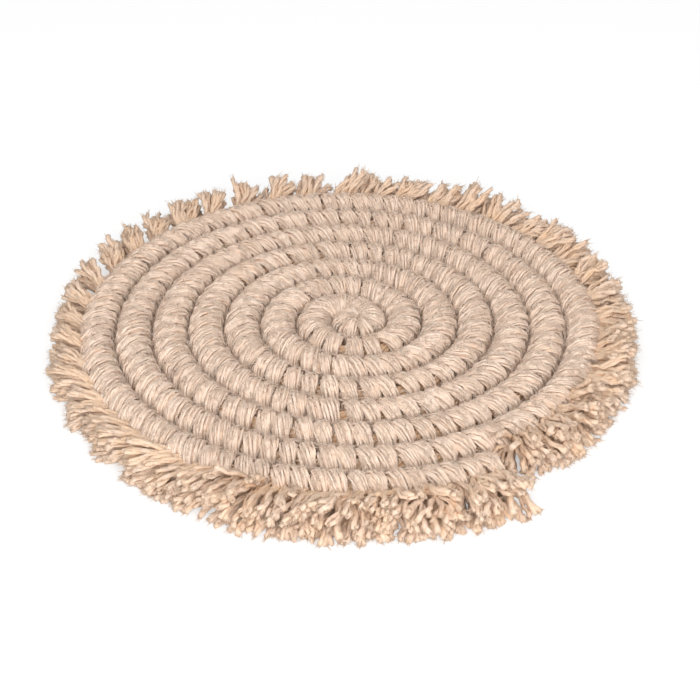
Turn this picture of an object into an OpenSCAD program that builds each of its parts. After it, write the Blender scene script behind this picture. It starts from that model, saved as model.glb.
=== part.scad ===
// Knotted cotton drink coaster, in millimetres.
// One core cord is coiled flat. Cotton working cords, each folded in half, are knotted over it in
// double half hitches, and run outwards from turn to turn. Each row of hitches lies against the
// row inside it. New working cords join as the turns grow, and their ends are cut and combed out
// into a fringe round the rim. The origin is on the table under the middle of the fringe's reach,
// +Z is up, and the coil runs anticlockwise on its way out, seen from above.

/* [Coil] */
// Turns of the core cord, from its start in the middle to its cut end
turns = 7.38; // [4:0.01:9]
// Direction of the coil's outer end, in degrees from +X
end_direction = -62; // [-180:1:180]
// Thickness of the core cord, drawn tight inside its hitches
core_d = 2.6; // [1.8:0.1:3.6]

/* [Hitches] */
// Width of one wrap of working cord along the core
wrap_w = 3.4; // [2.6:0.1:4.4]
// Thickness of a wrap over the core
wrap_t = 1.85; // [1.4:0.05:2.6]
// Slant of the wraps from square across the row, in degrees
slant = 18; // [0:1:25]
// Depth to which the wraps are pressed flat where they lie on the table
base_flat = 0.5; // [0.3:0.1:0.8]

/* [Fringe] */
// Length of a combed-out yarn
fringe_l = 8; // [6:0.5:11]
// Thickness of a yarn at its cut end
yarn_d = 1.3; // [0.8:0.1:1.5]
// Sideways spread of a tuft either way, in degrees
fan_side = 21; // [18:1:22]
// Upward and downward spread of a tuft either way, in degrees
fan_rise = 12; // [11:1:14]
// How far the tufts lean back along the rim, in degrees
fringe_lean = 20; // [0:1:22]

/* [Fits] */
// Clearance between the core cord and the wraps round it
seat_gap = 0.1; // [0.05:0.05:0.2]
// Clearance between a row of hitches and the row inside it
row_gap = 0.1; // [0.05:0.05:0.2]
// Clearance between the hitches of two neighbouring cords
cord_gap = 0.15; // [0.1:0.05:0.25]

/* [Hidden] */
$fn = 48;
wraps_per_hitch = 2;
hitches_per_cord = 2;
wraps_per_knot = wraps_per_hitch * hitches_per_cord;

// A tuft is three rows of yarns, one over the other, the middle row one yarn wider.
tuft_rows = [-1, 0, 1];
widest_row = 4;

// Where the two ends of a folded cord lie, as shares of its knot
end_shares = [0.25, 0.75];

// A row is the core with its wraps. Its axis lies this high once the underside is pressed flat.
core_r = core_d / 2;
bore_r = core_r + seat_gap;
row_r = bore_r + wrap_t;
row_pitch = 2 * row_r + row_gap;
row_z = row_r - base_flat;

// The crown of a wrap is an arc wide enough for neighbouring wraps to meet in a shallow groove.
crown_r = 0.7 * wrap_w;
crown_c = row_r - crown_r;

// The coil is a chain of half turns on two centres. The first wrap closes the eye in its middle.
start_angle = 0;
end_angle = 360 * turns;
first_r = row_pitch / 4;
coil_turn = end_direction - end_angle;
last_half = floor(end_angle / 180);
eye_r = first_r + row_pitch / 2 - row_r - row_gap / 2;
eye_lap = seat_gap + 0.2;
eye_pin = 0.02;

// The wraps are spaced evenly along a line between the core and the outside of its row.
spacing_line = row_r / 2;

// Each side of a knot's space is a row of chords, none wider than this many degrees.
chord_angle = 25;

// The bore through a knot runs this many degrees past its slanted ends.
bore_past = 2;

// A tie is the short run of cord, low in the valley, from a hitch to the next row's hitch.
tie_r = 0.3 * wrap_t;
tie_wall = bore_r + tie_r + seat_gap;
tie_fall = 40;

// A tuft grows from a neck on the outside of its hitch. Its lowest yarns just clear the table.
neck_r = 0.7 * wrap_t;
neck_back = neck_r / 2;
neck_reach = bore_r + neck_r + seat_gap;
tip_clear = 0.15;
low_pitch = asin((row_z - yarn_d / 2 - tip_clear) / fringe_l);
tuft_pitch = fan_rise - low_pitch;
lean_ramp = 70;

cord_colour = "#d8bfad";
core_colour = "#c9ad98";

// The two-centre coil
function half_at(a) = max(0, min(last_half, floor(a / 180)));
function half_r(j) = first_r + j * row_pitch / 2;
function half_x(j) = (j % 2 == 0 ? -1 : 1) * row_pitch / 4;
function radius_at(a) = half_r(half_at(a));
function row_point(a, out = 0, on = 0) =
    let (r = radius_at(a) + out)
    [half_x(half_at(a)) + r * cos(a) - on * sin(a), r * sin(a) + on * cos(a)];
function degrees(arc, r) = arc / r * 180 / PI;

// Each half turn of the coil holds a whole number of knots, a knot being one working cord's run of
// hitches on one row. The last half turn may be cut short.
function half_span(j) = min(180, end_angle - 180 * j);
function half_knots(j) =
    max(1, round((half_r(j) + spacing_line) * half_span(j) * PI / 180 / (wraps_per_knot * wrap_w)));
function knots_before(j) = j <= 0 ? 0 : knots_before(j - 1) + half_knots(j - 1);
function half_of(k, j = 0) = j >= last_half || k < knots_before(j + 1) ? j : half_of(k, j + 1);
function knot_angle(k, share = 0) =
    let (j = half_of(k))
    180 * j + (k - knots_before(j) + share) * half_span(j) / half_knots(j);
function knot_at(a) =
    let (j = half_at(a))
    knots_before(j) + floor((a - 180 * j) * half_knots(j) / half_span(j));

// The slant grows from nothing at the middle, where the wraps fan out
function slant_at(a) = slant * max(0, min(1, (a - 180) / 540));
function slant_shift(a) = degrees(row_r * tan(slant_at(a)), radius_at(a));

knots = knots_before(last_half + 1);

// The knot one row further in that a cord comes from, or -1 where there is none
function angle_inside(k) =
    let (a = knot_angle(k, 0.5), b = a - 360)
    b < start_angle ? b : b - slant_shift(a) - slant_shift(max(b, start_angle));
function inner_knot(k) =
    k < 0 ? -1 : let (b = angle_inside(k)) b < start_angle ? -1 : max(0, knot_at(b));
function continues(k) = inner_knot(k) >= 0 && inner_knot(k) != inner_knot(k - 1);

// The cords, each named by its outermost knot, which lies on the rim
rim_start = end_angle - 360;
rim_knots = [for (k = [0 : knots - 1]) if (knot_angle(k, 0.5) > rim_start) k];
cords = len(rim_knots);
function cord_knots(k) = continues(k) ? concat([k], cord_knots(inner_knot(k))) : [k];

// Where a rim knot is free of the coil's outer end, with room for a tuft's spread
tuft_room = fringe_l * sin(fan_side) + yarn_d;
rim_free = rim_start + degrees(tuft_room, radius_at(rim_start));
function tuft_angle(k, share) =
    let (a = max(knot_angle(k), rim_free), b = max(knot_angle(k, 1), rim_free))
    a + share * (b - a);
function lean_at(a) = fringe_lean * max(0, min(1, (a - rim_free) / lean_ramp));

// The yarns of a tuft fan out evenly, each as its direction sideways and upwards
yarn_step = 2 * fan_side / (widest_row - 1);
yarn_ways = [
    for (row = tuft_rows)
        let (last = widest_row - 1 - abs(row))
        for (i = [0 : last])
            [(i - last / 2) * yarn_step, tuft_pitch + row * fan_rise]
];
function yarn_tip(a, way) =
    row_point(a, neck_reach)
    + fringe_l * cos(way[1]) * [cos(a - lean_at(a) + way[0]), sin(a - lean_at(a) + way[0])];

// Middle of the fringe's reach, which lies over the origin
function turned(p) = [
    p.x * cos(coil_turn) - p.y * sin(coil_turn),
    p.x * sin(coil_turn) + p.y * cos(coil_turn)
];
tips = [
    for (k = rim_knots)
        for (share = end_shares)
            for (way = yarn_ways)
                turned(yarn_tip(tuft_angle(k, share), way))
];
tips_x = [for (p = tips) p.x];
tips_y = [for (p = tips) p.y];
middle = [(min(tips_x) + max(tips_x)) / 2, (min(tips_y) + max(tips_y)) / 2];

// The core's cut start stands just clear of the wrap that closes the eye, at a whole degree
core_start = ceil(start_angle + degrees(eye_lap + seat_gap, first_r));

// Least gap of the core to itself, measured on points along its centre line
gap_step = 10;
core_points = [for (a = [core_start : gap_step : end_angle]) row_point(a)];
self_gaps = [
    for (i = [0 : len(core_points) - 1])
        for (j = [i + 180 / gap_step : 1 : len(core_points) - 1])
            norm(core_points[i] - core_points[j]) - core_d
];
echo(least_core_gap = min(self_gaps), cords = cords, knots = knots, middle = middle);

function two_digits(n) = n < 10 ? str("0", n) : str(n);
function cord_name(i) = str("working_cord_", two_digits(i + 1));

// A round tube along one half turn of the core's line, swept from angle a
module half_turn(j, tube_r, a, sweep) {
    translate([half_x(j), 0, row_z])
        rotate([0, 0, a])
            rotate_extrude(angle = sweep)
                translate([half_r(j), 0])
                    circle(r = tube_r);
}

// The first half turn is swept back from its joint, so that all joints meet squarely.
module core_tube(tube_r, a, b) {
    half_turn(0, tube_r, 180, a - 180);
    for (j = [1 : half_at(b)])
        half_turn(j, tube_r, 180 * j, min(180, b - 180 * j));
}

// One wrap: a crowned ring round the core, turned to the slant of its row
module wrap(a) {
    p = row_point(a);
    translate([p.x, p.y, row_z])
        rotate([0, 90, a + 90 + slant_at(a)])
            rotate_extrude()
                intersection() {
                    translate([crown_c, 0])
                        circle(r = crown_r);
                    translate([core_r / 2, -crown_r])
                        square([row_r, 2 * crown_r]);
                }
}

// A point on a knot's end plane, which is slanted as its wraps are
function end_point(a, out, side) =
    let (d = max(out, -radius_at(a) * pow(cos(slant_at(a)), 2)))
    row_point(a, d, d * tan(slant_at(a)) + side * cord_gap / 2);

// The space that a knot may fill, from the table up, between its neighbours
module knot_space(k) {
    steps = ceil((knot_angle(k, 1) - knot_angle(k)) / chord_angle);
    reach = row_r + 2 * wrap_t;
    shares = [for (i = [0 : steps]) i / steps];
    inside = [for (share = shares) end_point(knot_angle(k, share), -row_r, 1 - 2 * share)];
    outside = [for (share = shares) end_point(knot_angle(k, 1 - share), reach, 2 * share - 1)];
    linear_extrude(height = 2 * row_r)
        polygon(concat(inside, outside));
}

module knot(k) {
    past = slant_shift(knot_angle(k)) + bore_past;
    span = knot_angle(k, 1) - knot_angle(k);
    difference() {
        intersection() {
            union() {
                for (i = [0 : wraps_per_knot - 1])
                    wrap(knot_angle(k, (i + 0.5) / wraps_per_knot));
            }
            knot_space(k);
        }
        half_turn(half_of(k), bore_r, knot_angle(k) - past, span + 2 * past);
    }
}

// The first knot is drawn in so tightly that its wraps close up into a button round the first half
// turn. Its start fills the eye of the coil.
module first_knot() {
    trim = degrees(cord_gap / 2, 2 * row_r);
    translate([half_x(0), 0, row_z])
        rotate([0, 0, trim])
            rotate_extrude(angle = 180 - 2 * trim)
                button_section();
    intersection() {
        translate([half_x(1), 0, row_z])
            sphere(r = eye_r);
        translate([half_x(1) - row_r, eye_lap - 2 * row_r, 0])
            cube(2 * row_r);
    }
}

module button_section() {
    difference() {
        intersection() {
            translate([first_r, 0])
                circle(r = row_r);
            translate([eye_pin, -row_z])
                square(2 * row_r);
        }
        translate([first_r, 0])
            circle(r = bore_r);
    }
}

// The ties from a knot to the knot of the same cord one row further in
module ties(k) {
    inner = inner_knot(k);
    a = max(
        knot_angle(k) - slant_shift(knot_angle(k)),
        knot_angle(inner) + slant_shift(knot_angle(inner)) + 360
    );
    b = min(
        knot_angle(k, 1) - slant_shift(knot_angle(k, 1)),
        knot_angle(inner, 1) + slant_shift(knot_angle(inner, 1)) + 360
    );
    for (share = end_shares)
        tie(a + share * (b - a));
}

module tie(a) {
    inset = tie_wall * cos(tie_fall);
    p = row_point(a, -inset);
    translate([p.x, p.y, row_z - tie_wall * sin(tie_fall)])
        rotate([0, -90, a])
            cylinder(r = tie_r, h = row_pitch - 2 * inset);
}

// A tuft: a short neck on the hitch's outside, and yarns that fan out of its flat end
module tuft(a) {
    p = row_point(a, neck_reach);
    translate([p.x, p.y, row_z])
        rotate([0, 0, a - lean_at(a)]) {
            rotate([0, 90, 0])
                translate([0, 0, -neck_back])
                    cylinder(r = neck_r, h = neck_back + neck_r);
            for (way = yarn_ways)
                yarn(way[0], way[1]);
        }
}

module yarn(side, rise) {
    root = neck_r / 2;
    rotate([0, 90 - rise, side])
        translate([0, 0, root])
            cylinder(r1 = yarn_d / 2 * root / fringe_l, r2 = yarn_d / 2, h = fringe_l - root);
}

// The coil, turned so that its end lies where it should, with the origin under its middle
module placed() {
    translate([-middle.x, -middle.y, 0])
        rotate([0, 0, coil_turn])
            children();
}

module core_cord() {
    color(core_colour)
        placed()
            core_tube(core_r, core_start, end_angle);
}

module working_cord(i) {
    run = cord_knots(rim_knots[i]);
    color(cord_colour)
        placed() {
            for (k = run) {
                if (k == 0)
                    first_knot();
                else
                    knot(k);
            }
            for (k = run)
                if (continues(k))
                    ties(k);
            for (share = end_shares)
                tuft(tuft_angle(rim_knots[i], share));
        }
}

core_cord();
for (i = [0 : cords - 1])
    working_cord(i);
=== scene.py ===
"""Cotton finish of a knotted drink coaster.

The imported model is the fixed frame. Each of its cords is replaced by the cotton that it is made of:
a twisted core, hitches wound from thin yarns round it, and a combed-out fringe round the rim.
"""

import bisect
import math
import random

import bmesh
import bpy
from bpy.props import FloatProperty, FloatVectorProperty, IntProperty, PointerProperty
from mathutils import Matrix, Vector


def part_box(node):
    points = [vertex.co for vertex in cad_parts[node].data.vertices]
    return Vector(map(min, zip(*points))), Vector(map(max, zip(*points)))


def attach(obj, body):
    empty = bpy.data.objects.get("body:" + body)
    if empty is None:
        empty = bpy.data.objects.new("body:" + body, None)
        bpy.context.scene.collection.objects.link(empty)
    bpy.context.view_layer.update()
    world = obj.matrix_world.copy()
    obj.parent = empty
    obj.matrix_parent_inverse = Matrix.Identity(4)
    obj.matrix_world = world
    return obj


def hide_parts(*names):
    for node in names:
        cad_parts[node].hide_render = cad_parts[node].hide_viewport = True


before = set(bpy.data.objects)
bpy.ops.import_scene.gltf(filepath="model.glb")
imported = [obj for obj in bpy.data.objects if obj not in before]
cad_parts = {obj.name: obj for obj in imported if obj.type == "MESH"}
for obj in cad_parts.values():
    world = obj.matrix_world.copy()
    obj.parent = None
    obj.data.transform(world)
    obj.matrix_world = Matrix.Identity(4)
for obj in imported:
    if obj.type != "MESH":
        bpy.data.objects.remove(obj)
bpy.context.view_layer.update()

bl_info = {
    "name": "Knotted Cotton Coaster",
    "version": (1, 0, 0),
    "blender": (4, 5, 0),
    "location": "3D View > Sidebar > Coaster",
    "description": "Dresses the packed coaster in twisted cotton cord",
    "category": "Object",
}

MM = 0.001
UP = Vector((0, 0, 1))

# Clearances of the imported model, which place its rows and knots
SEAT_GAP = 0.1 * MM
ROW_GAP = 0.1 * MM
EYE_LAP = 0.3 * MM

# A row's flanks are pressed out by this factor until they meet the next row
FLANK_SWELL = 1.06

# A folded cord makes two hitches of two wraps on each row, and ends in two tufts
WRAPS_PER_KNOT = 4
END_SHARES = (0.25, 0.75)

# Runs of yarn in a wrap, one set to a wrap. Each has its loops round the core, and its turns round
# the wrap's section on the way.
WRAP_RUNS = (
    ((9, 4), (7, 3), (5, 2)),
    ((9, 5), (7, 4), (5, 3)),
    ((7, 3), (7, 4), (7, 2)),
)

# Steps of a wrap's yarns on each loop round the core, how far they wander from their lay, and how
# close they come to the coil's middle
WRAP_STEPS = 10
WRAP_LOOSE = 0.3 * MM
EYE_CLEAR = 0.15 * MM

# A wrap's bulk under its yarns: its run, steps, radius and share of the wrap's section
# The bulk is painted shade: darker cotton that shows in the gaps and notches between the yarns
BULK_RUN = (7, 3)
BULK_STEPS = 7
BULK_R = 0.36 * MM
BULK_SHARE = 0.6

# Wraps of the first knot, round the eye, as shares of the way along it, and their width
EYE_WRAPS = (-0.2, 0.1, 0.42, 0.74, 1.0)
EYE_WIDTH = 0.9

# A tie between two rows: its yarns, their spacing and radius, the steps along them, how far from
# the core's line they end, their height there, and how much they rise between the rows
TIE_YARNS = 7
TIE_SPACING = 0.95 * MM
TIE_R = 0.4 * MM
TIE_STEPS = 5
TIE_END = 1.2 * MM
TIE_Z = 1.0 * MM
TIE_ARCH = 0.5 * MM

# Length of the rim beside the coil's cut end that stays free of fringe
RIM_CLEAR = 0.8 * MM

# Locks into which the strands of a cut cord's end are combed
LOCKS = 2

# Roots of a tuft's yarns: how far out from the core's line, and their spread up and down
ROOT_OUT = 1.9 * MM
ROOT_SPREAD = 1.4 * MM

# A yarn of the fringe: its plies, the steps along them, the share of the length after which they
# part, and the fine fibres that stand out of each
PLIES = 2
PLY_STEPS = 7
PART_FROM = 0.7
FRAY_FIBRES = 14

# Radii of a fine fibre at its two ends, in the fringe and on a wrap
FRAY_R = (0.075 * MM, 0.035 * MM)
STRAY_R = (0.055 * MM, 0.032 * MM)

# The core: plies round a middle one, of which three lie across it, the steps along them, and the
# length of one turn of the twist
CORE_PLIES = 6
PLIES_ACROSS = 3
CORE_STEP = 2.2 * MM
CORE_LAY = 11 * MM

# Cotton's pattern: one turn of a yarn's twist, the length of a fibre, the size of a toned patch, and
# the loops of a wrap's run that the pattern is laid out for
TWIST_L = 5 * MM
FIBRE_L = 1.2 * MM
PATCH_L = 4 * MM
PATTERN_LOOPS = 6

# Places of the cotton of the wraps, the fringe and the painted shade among a working cord's materials
CORD = 0
FRINGE = 1
# Painted shade: darker cotton on the wraps' bulk and on the ties, seen only in the gaps and valleys
PAINTED_SHADE = 2

# The fringe as it lies round the rim, one row for each direction in degrees from +X:
# lean back along the rim and rise in degrees, droop of the tips in mm, disorder from 0 to 1,
# length as a share of the fringe's length, and width of a tuft as a share of its room
FRINGE_LIE = (
    (-180, 42, 10, 1.5, 0.15, 0.94, 0.48),
    (-135, 42, 6, 2.0, 0.25, 1.0, 0.6),
    (-110, 22, 3, 1.8, 0.8, 1.08, 1.0),
    (-66, 8, 3, 1.8, 0.9, 1.08, 1.0),
    (-58, 44, 4, 1.6, 0.9, 1.05, 1.5),
    (-40, 10, 6, 1.4, 0.95, 0.98, 0.7),
    (-10, 4, 8, 1.2, 0.85, 0.9, 0.55),
    (30, 8, 12, 0.8, 0.6, 0.9, 0.55),
    (60, 20, 9, 0.5, 0.6, 0.88, 0.55),
    (90, 30, 9, 0.5, 0.55, 0.88, 0.5),
    (140, 38, 10, 0.8, 0.35, 0.9, 0.5),
    (180, 42, 10, 1.5, 0.15, 0.94, 0.48),
)


class CoilSizes(bpy.types.PropertyGroup):
    """Sizes of the coil and its hitches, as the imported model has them"""

    turns: FloatProperty(
        name="Turns", default=7.38,
        description="Turns of the core cord from the middle to its cut end",
    )
    end_direction: FloatProperty(
        name="End direction", subtype="ANGLE", default=math.radians(-62),
        description="Direction of the coil's outer end from +X",
    )
    core_d: FloatProperty(
        name="Core thickness", unit="LENGTH", default=2.6 * MM,
        description="Thickness of the core cord",
    )
    wrap_w: FloatProperty(
        name="Wrap width", unit="LENGTH", default=3.4 * MM,
        description="Width of one wrap along the core",
    )
    wrap_t: FloatProperty(
        name="Wrap thickness", unit="LENGTH", default=1.85 * MM,
        description="Thickness of a wrap over the core",
    )
    slant: FloatProperty(
        name="Slant", subtype="ANGLE", default=math.radians(18),
        description="Slant of the wraps from square across the row",
    )
    base_flat: FloatProperty(
        name="Base flat", unit="LENGTH", default=0.5 * MM,
        description="Depth to which the underside is pressed flat",
    )


class CottonSizes(bpy.types.PropertyGroup):
    """Sizes and colours of the cotton"""

    yarn_d: FloatProperty(
        name="Yarn thickness", unit="LENGTH", default=0.45 * MM,
        description="Thickness of one thin yarn of a cord",
    )
    fringe_l: FloatProperty(
        name="Fringe length", unit="LENGTH", default=8.5 * MM,
        description="Length of a combed-out yarn of the fringe",
    )
    tuft_yarns: IntProperty(
        name="Yarns in a tuft", default=34, min=6, max=40,
        description="Twisted yarns in each tuft of the fringe",
    )
    stray_fibres: IntProperty(
        name="Stray fibres", default=400, min=0, max=400,
        description="Loose fibres on each knot",
    )
    cord_colour: FloatVectorProperty(
        name="Cord colour", subtype="COLOR", size=3, default=(0.85, 0.705, 0.595),
        description="Colour of the cotton in the light",
    )
    shade_colour: FloatVectorProperty(
        name="Shade colour", subtype="COLOR", size=3, default=(0.84, 0.60, 0.43),
        description="Colour of the darker streaks in the cotton",
    )
    # Painted shade: a darker colour given to the core, seen only deep in the gaps, and to the fringe's
    # yarns where they start; also the colour of the fringe's darker streaks
    painted_shade_and_streak_colour: FloatVectorProperty(
        name="Deep colour", subtype="COLOR", size=3, default=(0.84, 0.57, 0.36),
        description="Colour of the core, and of the fringe's yarns where they start",
    )
    # Also the base colour of the painted shade on the wraps' bulk and the ties
    fringe_colour: FloatVectorProperty(
        name="Fringe colour", subtype="COLOR", size=3, default=(0.78, 0.61, 0.49),
        description="Colour of the combed-out fringe",
    )


class Coil:
    """The core's line and the knots along it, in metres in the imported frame."""

    def __init__(self, sizes):
        self.sizes = sizes
        self.bore_r = sizes.core_d / 2 + SEAT_GAP
        self.row_r = self.bore_r + sizes.wrap_t
        self.pitch = 2 * self.row_r + ROW_GAP
        self.row_z = self.row_r - sizes.base_flat
        self.end = sizes.turns * math.tau
        self.last_half = int(self.end // math.pi)
        self.turn = sizes.end_direction - self.end
        self.start = (EYE_LAP + SEAT_GAP) / self.half_r(0)
        self.middle = Vector((0, 0, 0))
        self.middle = self.find_middle()
        self.knots = self.find_knots()
        self.cords = self.find_cords()

    def find_middle(self):
        """The coil's middle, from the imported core's box against the same line drawn round 0."""
        steps = 4000
        line = [self.point(self.start + (self.end - self.start) * i / steps) for i in range(steps + 1)]
        low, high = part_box("core_cord")
        middle = Vector((0, 0, 0))
        for axis in range(2):
            spots = [p[axis] for p in line]
            middle[axis] = (low[axis] + high[axis] - min(spots) - max(spots)) / 2
        return middle

    def half_at(self, a):
        return max(0, min(self.last_half, math.floor(a / math.pi)))

    def half_r(self, j):
        return self.pitch / 4 + j * self.pitch / 2

    def radius(self, a):
        return self.half_r(self.half_at(a))

    def outward(self, a):
        return Vector((math.cos(a + self.turn), math.sin(a + self.turn), 0))

    def onward(self, a):
        return Vector((-math.sin(a + self.turn), math.cos(a + self.turn), 0))

    def point(self, a, out=0.0):
        """The point on the core's line at angle a, or one further out on the same level."""
        j = self.half_at(a)
        side = (-1 if j % 2 == 0 else 1) * self.pitch / 4
        eye = Vector((math.cos(self.turn), math.sin(self.turn), 0)) * side
        return self.middle + eye + self.outward(a) * (self.half_r(j) + out) + UP * self.row_z

    def slant(self, a):
        return self.sizes.slant * max(0.0, min(1.0, (a - math.pi) / (3 * math.pi)))

    def slant_shift(self, a):
        return self.row_r * math.tan(self.slant(a)) / self.radius(a)

    def find_knots(self):
        """(start, end) of each knot along the coil, a whole number to each half turn."""
        knots = []
        for j in range(self.last_half + 1):
            span = min(math.pi, self.end - math.pi * j)
            arc = (self.half_r(j) + self.row_r / 2) * span
            count = max(1, math.floor(arc / (WRAPS_PER_KNOT * self.sizes.wrap_w) + 0.5))
            for i in range(count):
                knots.append((math.pi * j + span * i / count, math.pi * j + span * (i + 1) / count))
        return knots

    def at(self, k, share):
        start, end = self.knots[k]
        return start + share * (end - start)

    def knot_at(self, a):
        return max(k for k, (start, end) in enumerate(self.knots) if start <= a or k == 0)

    def inner_knot(self, k):
        """The knot one row further in that knot k's cord comes from, or None."""
        if k < 0:
            return None
        a = self.at(k, 0.5)
        b = a - math.tau
        if b < 0:
            return None
        b -= self.slant_shift(a) + self.slant_shift(b)
        return self.knot_at(b) if b >= 0 else None

    def continues(self, k):
        return self.inner_knot(k) is not None and self.inner_knot(k) != self.inner_knot(k - 1)

    def find_cords(self):
        """The knots of each cord, from the rim inwards."""
        cords = []
        for k in range(len(self.knots)):
            if self.at(k, 0.5) > self.end - math.tau:
                run = [k]
                while self.continues(run[-1]):
                    run.append(self.inner_knot(run[-1]))
                cords.append(run)
        return cords


class Yarns:
    """Collects the yarns and fine fibres of one piece, and makes its mesh.

    They have four sides, and two more for each step of roundness.
    """

    def __init__(self, name, yarn_r, materials, roundness=0):
        self.name = name
        self.yarn_r = yarn_r
        self.materials = materials
        self.curve = bpy.data.curves.new(f"{name}_lines", "CURVE")
        self.curve.dimensions = "3D"
        self.curve.bevel_depth = yarn_r
        self.curve.bevel_resolution = roundness
        self.curve.use_fill_caps = True
        for material in materials:
            self.curve.materials.append(material)

    def add(self, points, radii, closed=False, material=0):
        spline = self.curve.splines.new("POLY")
        spline.points.add(len(points) - 1)
        spline.points.foreach_set("co", [c for p in points for c in (p[0], p[1], p[2], 1.0)])
        spline.points.foreach_set("radius", [r / self.yarn_r for r in radii])
        spline.use_cyclic_u = closed
        spline.material_index = material

    def finish(self, node):
        """Turns the yarns into closed meshes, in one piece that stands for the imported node."""
        maker = bpy.data.objects.new(self.curve.name, self.curve)
        bpy.context.scene.collection.objects.link(maker)
        graph = bpy.context.evaluated_depsgraph_get()
        tubes = bpy.data.meshes.new_from_object(maker.evaluated_get(graph))
        shape = bmesh.new()
        shape.from_mesh(tubes)
        bpy.data.objects.remove(maker)
        bpy.data.curves.remove(self.curve)
        bpy.data.meshes.remove(tubes)
        bmesh.ops.remove_doubles(shape, verts=shape.verts, dist=0.001 * MM)
        if not shape.faces:
            raise RuntimeError("no yarns in " + self.name)
        mesh = bpy.data.meshes.new(self.name)
        shape.to_mesh(mesh)
        shape.free()
        for material in self.materials:
            mesh.materials.append(material)
        piece = bpy.data.objects.new(self.name, mesh)
        bpy.context.scene.collection.objects.link(piece)
        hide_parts(node)
        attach(piece, "root")
        return piece


def soft_noise(dice, count):
    """A smooth run of random values from -1 to 1 that closes on itself after count steps."""
    spots = [dice.uniform(-1, 1) for _ in range(count)]

    def value(t):
        i = math.floor(t)
        share = t - i
        ease = share * share * (3 - 2 * share)
        return spots[i % count] * (1 - ease) + spots[(i + 1) % count] * ease

    return value


def section_walk(half_w, half_t):
    """Even steps round a wrap's section, an oval. Takes a share of the way round."""
    steps = 120
    line = []
    for i in range(steps + 1):
        turn = math.tau * i / steps
        line.append(Vector((half_w * math.cos(turn), half_t * math.sin(turn))))
    runs = [0.0]
    for here, there in zip(line, line[1:]):
        runs.append(runs[-1] + (there - here).length)

    def spot(share):
        run = share % 1 * runs[-1]
        i = min(bisect.bisect_right(runs, run), steps) - 1
        return line[i].lerp(line[i + 1], (run - runs[i]) / (runs[i + 1] - runs[i]))

    return spot


def wind_yarns(yarns, coil, a, dice, lay):
    """Thin yarns twisted together and wound round the core at angle a, as one endless run."""
    loops, twists = lay["run"]
    if math.gcd(loops, twists) != 1:
        raise ValueError("the yarns of a wrap close before they have gone round it")
    steps = lay["steps"]
    radius = coil.radius(a)
    wander_side = soft_noise(dice, 2 * loops)
    wander_up = soft_noise(dice, 2 * loops)
    swell = soft_noise(dice, 2 * loops)
    phase = dice.uniform(0, 1)
    slant = lay["slant"]
    across = coil.outward(a) * math.cos(slant) + coil.onward(a) * math.sin(slant)
    along = coil.onward(a) * math.cos(slant) - coil.outward(a) * math.sin(slant)
    middle = coil.point(a)
    low_scale = (coil.row_z - lay["yarn_r"]) / (coil.row_r - lay["yarn_r"])
    points = []
    radii = []
    for q in range(loops * steps):
        turn = q / steps
        psi = math.tau * turn
        side, up = lay["section"](phase + turn * twists / loops)
        side *= lay["width"] * (1 - lay["pinch"] * math.cos(psi) ** 2)
        side += lay["shift"] + lay["loose"] * wander_side(2 * turn)
        reach = lay["lift"] + up + lay["loose"] / 2 * wander_up(2 * turn)
        out = max(FLANK_SWELL * reach * math.cos(psi), EYE_CLEAR - radius)
        side *= max(0.1, min(1.4, (radius + out) / (radius + coil.row_r / 2)))
        rise = reach * math.sin(psi)
        if rise < 0:
            rise *= low_scale
        yarn_r = lay["yarn_r"] * (1 + 0.2 * swell(2 * turn))
        p = middle + across * out + along * side + UP * rise
        p.z = max(p.z, yarn_r)
        points.append(p)
        radii.append(yarn_r)
    yarns.add(points, radii, closed=True, material=lay["material"])


def wind_wrap(yarns, coil, a, dice, section, width):
    """One wrap: its bulk, in the darker cotton of painted shade, and runs of yarn laid over it."""
    wrap = {
        "material": CORD,
        "steps": WRAP_STEPS,
        "yarn_r": yarns.yarn_r,
        "section": section,
        "width": width * dice.uniform(0.97, 1.05),
        "pinch": dice.uniform(0.22, 0.38),
        "shift": dice.uniform(-0.15, 0.15) * MM,
        "slant": coil.slant(a) + math.radians(dice.uniform(-5, 5)),
        "loose": WRAP_LOOSE,
    }
    lift = (coil.bore_r + coil.sizes.wrap_t / 2) * dice.uniform(0.98, 1.05)
    for run in dice.choice(WRAP_RUNS):
        layer = {"run": run, "lift": lift + dice.uniform(-0.06, 0.08) * MM}
        wind_yarns(yarns, coil, a, dice, wrap | layer)
    # Painted shade: the bulk is in darker cotton, which shows between the yarns
    bulk = {
        "material": PAINTED_SHADE,
        "run": BULK_RUN,
        "steps": BULK_STEPS,
        "pinch": 0.05,
        "yarn_r": BULK_R,
        "section": lambda share: BULK_SHARE * section(share),
        "lift": lift,
        "loose": 0.0,
    }
    wind_yarns(yarns, coil, a, dice, wrap | bulk)


def wind_knot(yarns, coil, k, dice, section):
    """The hitches of one cord on one row. The two wraps of a hitch lie close together."""
    if k == 0:
        for share in EYE_WRAPS:
            wind_wrap(yarns, coil, coil.at(k, share), dice, section, width=EYE_WIDTH)
        return
    for i in range(WRAPS_PER_KNOT):
        pull = 0.01 if i % 2 == 0 else -0.01
        share = (i + 0.5) / WRAPS_PER_KNOT + pull
        wind_wrap(yarns, coil, coil.at(k, share), dice, section, width=1.0)


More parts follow.
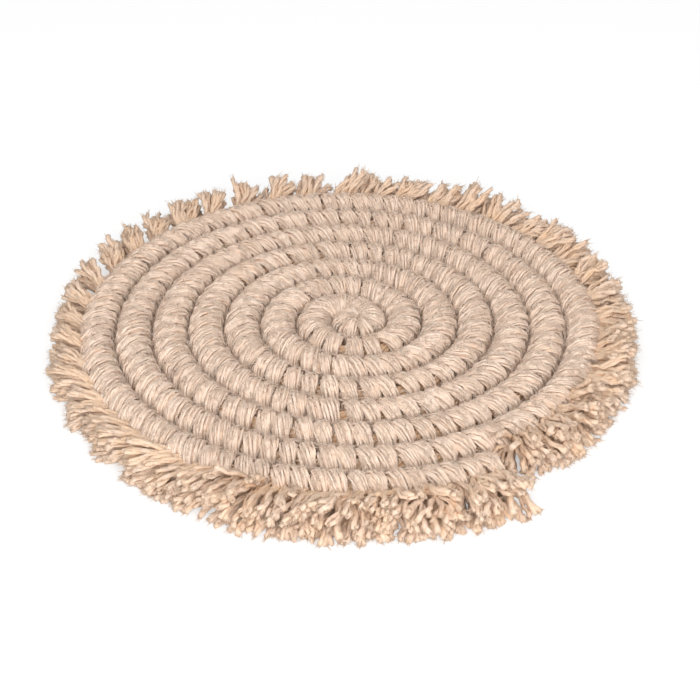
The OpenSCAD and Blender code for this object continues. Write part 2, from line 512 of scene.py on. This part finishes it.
def run_ties(yarns, coil, k, dice):
    """The short runs of cord, low in the valley, from a knot to the next row's knot, in the darker
    cotton of painted shade.
    """
    inner = coil.inner_knot(k)
    shift = coil.slant_shift
    start, end = coil.knots[k]
    inner_start, inner_end = (a + math.tau for a in coil.knots[inner])
    a = max(start - shift(start), inner_start + shift(inner_start - math.tau))
    b = min(end - shift(end), inner_end + shift(inner_end - math.tau))
    for share in END_SHARES:
        angle = a + share * (b - a)
        for i in range(TIE_YARNS):
            side = coil.onward(angle) * (i - TIE_YARNS // 2) * TIE_SPACING
            points = []
            for step in range(TIE_STEPS + 1):
                s = step / TIE_STEPS
                p = coil.point(angle, -TIE_END - (coil.pitch - 2 * TIE_END) * s) + side
                p.z = TIE_Z + TIE_ARCH * math.sin(math.pi * s) + dice.uniform(-0.05, 0.05) * MM
                points.append(p)
            # Painted shade: the ties lie in the valleys and take the darker cotton
            yarns.add(points, [TIE_R] * len(points), material=PAINTED_SHADE)


def fringe_lie(direction):
    """How the fringe lies at a direction round the rim, eased between the rows of FRINGE_LIE."""
    degrees = (math.degrees(direction) + 180) % 360 - 180
    for low, high in zip(FRINGE_LIE, FRINGE_LIE[1:]):
        if low[0] <= degrees <= high[0]:
            share = (degrees - low[0]) / (high[0] - low[0])
            return [u + share * (v - u) for u, v in zip(low[1:], high[1:])]
    raise ValueError("no lie for that direction")


def comb_tuft(yarns, coil, a, room, dice, cotton):
    """One tuft of the fringe: a cord's end, whose strands are combed out into brushes of yarn."""
    lean, rise, sag, disorder, reach, gather = fringe_lie(a + coil.turn)
    golden = math.pi * (3 - math.sqrt(5))
    count = cotton.tuft_yarns // LOCKS
    for lock in range(LOCKS):
        lock_a = a + room * (gather * ((lock + 0.5) / LOCKS - 0.5) + dice.gauss(0, 0.05))
        lock_yaw = -lean + dice.gauss(0, 4 + 8 * disorder)
        lock_pitch = rise + dice.gauss(0, 4 + 4 * disorder)
        lock_l = cotton.fringe_l * reach * dice.uniform(0.88, 1.08)
        for i in range(count):
            spot = math.sqrt((i + 0.5) / count)
            side = spot * math.cos(golden * i)
            up = spot * math.sin(golden * i)
            angle = lock_a + gather * (0.12 + 0.18 * disorder) * room * side
            yaw = lock_yaw + (5 + 17 * disorder) * side + dice.gauss(0, 2 + 7 * disorder)
            pitch = lock_pitch + (9 + 20 * disorder) * up + dice.gauss(0, 2 + 7 * disorder)
            yaw = math.radians(yaw)
            lie = {
                "root": coil.point(angle, ROOT_OUT) + UP * (ROOT_SPREAD * up),
                "heading": coil.outward(angle) * math.cos(yaw) + coil.onward(angle) * math.sin(yaw),
                "pitch": math.radians(pitch),
                "length": lock_l * dice.uniform(0.92, 1.03),
                "droop": sag * MM * dice.uniform(0.7, 1.2),
                "bend": dice.gauss(0, 0.2 + disorder) * MM,
                "wave": dice.uniform(0.05, 0.1 + 0.5 * disorder) * MM,
                "kink": 0.05 * (1 + 2 * disorder) * MM,
                "lumps": 0.12 + 0.2 * disorder,
                "ply_r": dice.uniform(0.35, 0.43) * (1 + 0.2 * disorder) * MM,
            }
            lay_yarn(yarns, lie, dice)


def lay_yarn(yarns, lie, dice):
    """One yarn of the fringe: two soft plies with fibres that stand out towards the cut tip."""
    length = lie["length"]
    heading = lie["heading"]
    sideways = UP.cross(heading)
    twist = math.tau / (dice.uniform(6, 11) * MM)
    phase = dice.uniform(0, math.tau)
    splay = dice.uniform(0.1, 0.9)
    for ply in range(PLIES):
        cut = dice.uniform(0.96, 1.03)
        points = []
        radii = []
        for step in range(PLY_STEPS + 1):
            s = step / PLY_STEPS
            reach = length * cut * s
            turn = twist * reach + phase + math.tau * ply / PLIES
            parted = max(0.0, s - PART_FROM) / (1 - PART_FROM)
            off = 0.55 * lie["ply_r"] * (1 + splay * parted)
            wave = lie["wave"] * math.sin(8 * s + phase)
            p = lie["root"] + heading * (reach * math.cos(lie["pitch"]))
            p += UP * (reach * math.sin(lie["pitch"]) - lie["droop"] * s * s + off * math.sin(turn))
            p += sideways * (lie["bend"] * s * s + wave + off * math.cos(turn))
            p += Vector((dice.gauss(0, 1), dice.gauss(0, 1), dice.gauss(0, 1))) * lie["kink"]
            radius = lie["ply_r"] * (0.85 + 0.2 * s) * (1 + lie["lumps"] * dice.uniform(-1, 1))
            p.z = max(p.z, radius + 0.02 * MM)
            points.append(p)
            radii.append(radius)
        yarns.add(points, radii, material=FRINGE)
        for _ in range(FRAY_FIBRES):
            fray(yarns, points, lie["ply_r"], dice)


def fray(yarns, line, ply_r, dice):
    """A fine fibre that stands out of a yarn, more often near its cut tip."""
    last = len(line) - 1
    i = 2 + round((last - 2) * math.sqrt(dice.random()))
    along = (line[i] - line[i - 1]).normalized()
    aside = Vector((dice.uniform(-1, 1), dice.uniform(-1, 1), dice.uniform(-0.6, 1)))
    length = dice.uniform(0.5, 1.2) * MM
    start = line[i] + along * (-0.4 * length) + aside * (0.6 * ply_r)
    end = line[i] + along * (0.6 * length) + aside * (ply_r + 0.2 * length)
    for p in (start, end):
        p.z = max(p.z, 0.08 * MM)
    yarns.add((start, end), FRAY_R, material=FRINGE)


def stray_fibre(yarns, coil, a, dice):
    """A fine fibre that lies loosely over a wrap, with one end in the air."""
    psi = dice.uniform(0.03, 0.97) * math.pi
    length = dice.uniform(0.6, 1.8) * MM
    reach = coil.row_r * dice.uniform(0.97, 1.02)
    start = coil.point(a, reach * math.cos(psi)) + UP * (reach * math.sin(psi))
    normal = coil.outward(a) * math.cos(psi) + UP * math.sin(psi)
    round_row = normal.cross(coil.onward(a))
    turn = coil.slant(a) + dice.choice((0, math.pi)) + dice.gauss(0, 1.0)
    heading = round_row * math.cos(turn) + coil.onward(a) * math.sin(turn)
    end = start + heading * length + normal * (dice.uniform(-0.35, 0.15) * length)
    yarns.add((start, end), STRAY_R, material=CORD)


def wind_core(yarns, coil):
    """The core cord: plies twisted round the coil's line, from the eye to the cut end."""
    ring_r = coil.sizes.core_d / 2 - yarns.yarn_r
    stops = [(coil.start, 0.0)]
    while stops[-1][0] < coil.end:
        a, run = stops[-1]
        stops.append((min(coil.end, a + CORE_STEP / coil.radius(a)), run + CORE_STEP))
    for ply in range(CORE_PLIES + 1):
        points = []
        for a, run in stops:
            turn = math.tau * (run / CORE_LAY + ply / CORE_PLIES)
            off = ring_r if ply < CORE_PLIES else 0.0
            points.append(coil.point(a, off * math.cos(turn)) + UP * (off * math.sin(turn)))
        yarns.add(points, [yarns.yarn_r] * len(points))


def new_socket(group, name, way, kind):
    return group.interface.new_socket(name=name, in_out=way, socket_type=kind)


def cotton_group():
    """Node group: cotton's uneven tone and its twisted fibres, along each yarn's own UV map, with
    painted shade towards each yarn's start.
    """
    name = "Cotton fibre"
    if name in bpy.data.node_groups:
        return bpy.data.node_groups[name]
    group = bpy.data.node_groups.new(name, "ShaderNodeTree")
    new_socket(group, "Cord", "INPUT", "NodeSocketColor")
    new_socket(group, "Shade", "INPUT", "NodeSocketColor")
    new_socket(group, "Length", "INPUT", "NodeSocketFloat")
    new_socket(group, "Painted root shade", "INPUT", "NodeSocketFloat")
    new_socket(group, "Colour", "OUTPUT", "NodeSocketColor")
    new_socket(group, "Height", "OUTPUT", "NodeSocketFloat")
    nodes = group.nodes
    link = group.links.new
    entry = nodes.new("NodeGroupInput")
    leave = nodes.new("NodeGroupOutput")
    place = nodes.new("ShaderNodeTexCoord")

    def calc(operation, *values):
        node = nodes.new("ShaderNodeMath")
        node.operation = operation
        for socket, value in zip(node.inputs, values):
            if isinstance(value, float):
                socket.default_value = value
            else:
                link(value, socket)
        return node.outputs["Value"]

    def noise(vector, scale, detail, rough, run=None):
        node = nodes.new("ShaderNodeTexNoise")
        node.inputs["Scale"].default_value = scale
        node.inputs["Detail"].default_value = detail
        node.inputs["Roughness"].default_value = rough
        link(vector, node.inputs["Vector"])
        if run:
            node.noise_dimensions = "4D"
            link(run, node.inputs["W"])
        return node.outputs["Fac"]

    def spread(value, low, high, most):
        node = nodes.new("ShaderNodeMapRange")
        node.inputs["From Min"].default_value = low
        node.inputs["From Max"].default_value = high
        node.inputs["To Max"].default_value = most
        link(value, node.inputs["Value"])
        return node.outputs["Result"]

    def mix(share, first, second):
        node = nodes.new("ShaderNodeMix")
        node.data_type = "RGBA"
        link(share, node.inputs["Factor"])
        link(first, node.inputs["A"])
        link(second, node.inputs["B"])
        return node.outputs["Result"]

    split = nodes.new("ShaderNodeSeparateXYZ")
    link(place.outputs["UV"], split.inputs["Vector"])
    run = calc("MULTIPLY", split.outputs["X"], entry.outputs["Length"])
    twist = calc("MULTIPLY", run, math.tau / TWIST_L)
    angle = calc("MULTIPLY_ADD", split.outputs["Y"], math.tau, twist)
    round_yarn = nodes.new("ShaderNodeCombineXYZ")
    link(calc("COSINE", angle), round_yarn.inputs["X"])
    link(calc("SINE", angle), round_yarn.inputs["Y"])
    link(calc("MULTIPLY", run, 1 / FIBRE_L), round_yarn.inputs["Z"])
    tone = noise(place.outputs["Object"], 1 / PATCH_L, 2, 0.5, run)
    fibres = noise(round_yarn.outputs["Vector"], 1.3, 3, 0.6, calc("MULTIPLY", tone, 25.0))
    toned = mix(spread(tone, 0.42, 0.72, 0.6), entry.outputs["Cord"], entry.outputs["Shade"])
    streaked = mix(spread(fibres, 0.45, 0.75, 0.55), toned, entry.outputs["Shade"])
    # Painted shade: the shade colour mixed in towards a yarn's start, at the share given by the root
    # input, for the shade among the fringe's roots
    root = calc("MULTIPLY", calc("SUBTRACT", 1.0, split.outputs["X"]), entry.outputs["Painted root shade"])
    link(mix(root, streaked, entry.outputs["Shade"]), leave.inputs["Colour"])
    link(fibres, leave.inputs["Height"])
    return group


def cotton_material(name, cord, shade, length, root=0.0, relief=0.12 * MM):
    """Matt, slightly fuzzy cotton in one colour, on yarns of about one length.

    The argument root is the share of the shade colour painted in where a yarn starts, as painted
    shade, and relief the depth of its fibres.
    """
    material = bpy.data.materials.new(name)
    material.use_nodes = True
    nodes = material.node_tree.nodes
    link = material.node_tree.links.new
    shader = nodes["Principled BSDF"]
    shader.inputs["Roughness"].default_value = 0.92
    shader.inputs["Specular IOR Level"].default_value = 0.1
    shader.inputs["Sheen Weight"].default_value = 0.04
    shader.inputs["Sheen Roughness"].default_value = 0.6
    shader.inputs["Sheen Tint"].default_value = (1.0, 0.9, 0.8, 1.0)
    fibre = nodes.new("ShaderNodeGroup")
    fibre.node_tree = cotton_group()
    fibre.inputs["Cord"].default_value = (*cord, 1.0)
    fibre.inputs["Shade"].default_value = (*shade, 1.0)
    fibre.inputs["Length"].default_value = length
    fibre.inputs["Painted root shade"].default_value = root
    bump = nodes.new("ShaderNodeBump")
    bump.inputs["Strength"].default_value = 0.8
    bump.inputs["Distance"].default_value = relief
    link(fibre.outputs["Colour"], shader.inputs["Base Color"])
    link(fibre.outputs["Height"], bump.inputs["Height"])
    link(bump.outputs["Normal"], shader.inputs["Normal"])
    return material


def white_share(tree, share):
    """That share of white for what the camera sees of a surface, itself or in a reflection."""
    path = tree.nodes.new("ShaderNodeLightPath")
    seen = path.outputs["Is Camera Ray"]
    for ray in ("Is Glossy Ray", "Is Transmission Ray"):
        either = tree.nodes.new("ShaderNodeMath")
        either.operation = "MAXIMUM"
        tree.links.new(seen, either.inputs[0])
        tree.links.new(path.outputs[ray], either.inputs[1])
        seen = either.outputs["Value"]
    part = tree.nodes.new("ShaderNodeMath")
    part.operation = "MULTIPLY"
    part.inputs[1].default_value = share
    tree.links.new(seen, part.inputs[0])
    return part.outputs["Value"]


def make_floor():
    """The white table, which keeps part of its white in the shade."""
    mesh = bpy.data.meshes.new("floor")
    shape = bmesh.new()
    bmesh.ops.create_grid(shape, x_segments=1, y_segments=1, size=3.0)
    shape.to_mesh(mesh)
    shape.free()
    floor = bpy.data.objects.new("floor", mesh)
    bpy.context.scene.collection.objects.link(floor)
    material = bpy.data.materials.new("white_table")
    material.use_nodes = True
    nodes = material.node_tree.nodes
    link = material.node_tree.links.new
    shader = nodes["Principled BSDF"]
    shader.inputs["Base Color"].default_value = (0.93, 0.93, 0.93, 1.0)
    shader.inputs["Roughness"].default_value = 0.9
    shader.inputs["Specular IOR Level"].default_value = 0.1
    white = nodes.new("ShaderNodeEmission")
    white.inputs["Strength"].default_value = 1.12
    blend = nodes.new("ShaderNodeMixShader")
    link(white_share(material.node_tree, 0.45), blend.inputs[0])
    link(shader.outputs["BSDF"], blend.inputs[1])
    link(white.outputs["Emission"], blend.inputs[2])
    link(blend.outputs["Shader"], nodes["Material Output"].inputs["Surface"])
    mesh.materials.append(material)


def make_light():
    """An even white surround, a lamp from above and a nearer one in front."""
    world = bpy.data.worlds.new("studio")
    bpy.context.scene.world = world
    world.use_nodes = True
    sky = world.node_tree.nodes["Background"]
    sky.inputs["Color"].default_value = (1.0, 1.0, 1.0, 1.0)
    sky.inputs["Strength"].default_value = 0.73
    for name, place, size, power in (
        ("key", (-0.2, -0.53, 0.86), 0.6, 1.8),
        ("fill", (0.03, -0.38, 0.18), 0.3, 1.35),
    ):
        lamp = bpy.data.lights.new(name, "AREA")
        lamp.size = size
        lamp.energy = power
        holder = bpy.data.objects.new(name, lamp)
        holder.location = place
        holder.rotation_euler = (-Vector(place)).to_track_quat("-Z", "Y").to_euler()
        bpy.context.scene.collection.objects.link(holder)


def make_camera(middle):
    """The photograph's view, from the front and a third of a right angle above the table."""
    camera = bpy.data.cameras.new("camera")
    camera.sensor_width = 36
    camera.lens = 89.5
    camera.clip_start = 0.01
    holder = bpy.data.objects.new("camera", camera)
    holder.location = middle + Vector((0, -0.2700, 0.1769))
    holder.rotation_euler = (math.pi / 2 - 0.586, 0, 0)
    bpy.context.scene.collection.objects.link(holder)
    bpy.context.scene.camera = holder


class COASTER_OT_core_cord(bpy.types.Operator):
    """Make the twisted core cord"""

    bl_idname = "coaster.core_cord"
    bl_label = "Core Cord"

    def execute(self, context):
        coil = Coil(context.scene.coaster_coil)
        cotton = context.scene.coaster_cotton
        length = coil.radius(coil.end) / 2 * coil.end
        # Painted shade: the core shows only at the bottom of the gaps between wraps, so it takes the
        # darker colour instead of the cord colour
        material = cotton_material("core_cotton", cotton.painted_shade_and_streak_colour, cotton.shade_colour, length)
        ply_r = coil.sizes.core_d / (2 * PLIES_ACROSS)
        yarns = Yarns("core_cord_cotton", ply_r, [material], roundness=1)
        wind_core(yarns, coil)
        piece = yarns.finish("core_cord")
        return {"FINISHED"}


class COASTER_OT_working_cords(bpy.types.Operator):
    """Make the working cords: their hitches over the core and their tufts in the fringe"""

    bl_idname = "coaster.working_cords"
    bl_label = "Working Cords"

    def execute(self, context):
        coil = Coil(context.scene.coaster_coil)
        cotton = context.scene.coaster_cotton
        sizes = coil.sizes
        wrap_l = PATTERN_LOOPS * math.tau * (coil.bore_r + sizes.wrap_t / 2)
        cord = cotton_material("cord_cotton", cotton.cord_colour, cotton.shade_colour, wrap_l)
        # Painted shade: the fringe's yarns darken towards their start, in the darker colour, at a
        # share of 0.4
        fringe = cotton_material(
            "fringe_cotton", cotton.fringe_colour, cotton.painted_shade_and_streak_colour, cotton.fringe_l,
            root=0.4, relief=0.35 * MM,
        )
        # Painted shade: darker cotton for the wraps' bulk and the ties, seen only in the gaps and
        # valleys
        painted_shade = cotton_material("painted_shade_cotton", cotton.fringe_colour, cotton.shade_colour, wrap_l)
        section = section_walk((sizes.wrap_w - cotton.yarn_d) / 2, (sizes.wrap_t - cotton.yarn_d) / 2)
        rim_start = coil.end - math.tau
        rim_free = rim_start + RIM_CLEAR / coil.radius(rim_start)
        for number, run in enumerate(coil.cords, start=1):
            dice = random.Random(number)
            yarns = Yarns(f"hitched_cord_{number:02d}", cotton.yarn_d / 2, [cord, fringe, painted_shade])
            for k in run:
                wind_knot(yarns, coil, k, dice, section)
                if coil.continues(k):
                    run_ties(yarns, coil, k, dice)
                for i in range(cotton.stray_fibres):
                    wrap = i % WRAPS_PER_KNOT + 0.5 + dice.gauss(0, 0.16)
                    stray_fibre(yarns, coil, coil.at(k, wrap / WRAPS_PER_KNOT), dice)
            start = max(coil.knots[run[0]][0], rim_free)
            end = max(coil.knots[run[0]][1], rim_free)
            room = (end - start) / len(END_SHARES)
            for share in END_SHARES:
                comb_tuft(yarns, coil, start + share * (end - start), room, dice, cotton)
            piece = yarns.finish(f"working_cord_{number:02d}")
        return {"FINISHED"}


class COASTER_OT_stage(bpy.types.Operator):
    """Make the floor, the light and the camera"""

    bl_idname = "coaster.stage"
    bl_label = "Stage"

    def execute(self, context):
        coil = Coil(context.scene.coaster_coil)
        make_floor()
        make_light()
        make_camera(coil.middle)
        context.scene.view_settings.view_transform = "Standard"
        return {"FINISHED"}


class COASTER_PT_panel(bpy.types.Panel):
    """The coaster's pieces, in the order in which they are made"""

    bl_idname = "COASTER_PT_panel"
    bl_label = "Knotted Coaster"
    bl_space_type = "VIEW_3D"
    bl_region_type = "UI"
    bl_category = "Coaster"

    def draw(self, context):
        for settings in (context.scene.coaster_coil, context.scene.coaster_cotton):
            box = self.layout.box()
            for name in settings.__annotations__:
                box.prop(settings, name)
        for operator in OPERATORS:
            self.layout.operator(operator.bl_idname)


OPERATORS = (COASTER_OT_core_cord, COASTER_OT_working_cords, COASTER_OT_stage)
CLASSES = (CoilSizes, CottonSizes) + OPERATORS + (COASTER_PT_panel,)


def register():
    for cls in CLASSES:
        bpy.utils.register_class(cls)
    bpy.types.Scene.coaster_coil = PointerProperty(type=CoilSizes)
    bpy.types.Scene.coaster_cotton = PointerProperty(type=CottonSizes)


def unregister():
    del bpy.types.Scene.coaster_cotton
    del bpy.types.Scene.coaster_coil
    for cls in reversed(CLASSES):
        bpy.utils.unregister_class(cls)


def main():
    register()
    bpy.ops.coaster.core_cord()
    bpy.ops.coaster.working_cords()
    bpy.ops.coaster.stage()


if __name__ == "__main__":
    main()
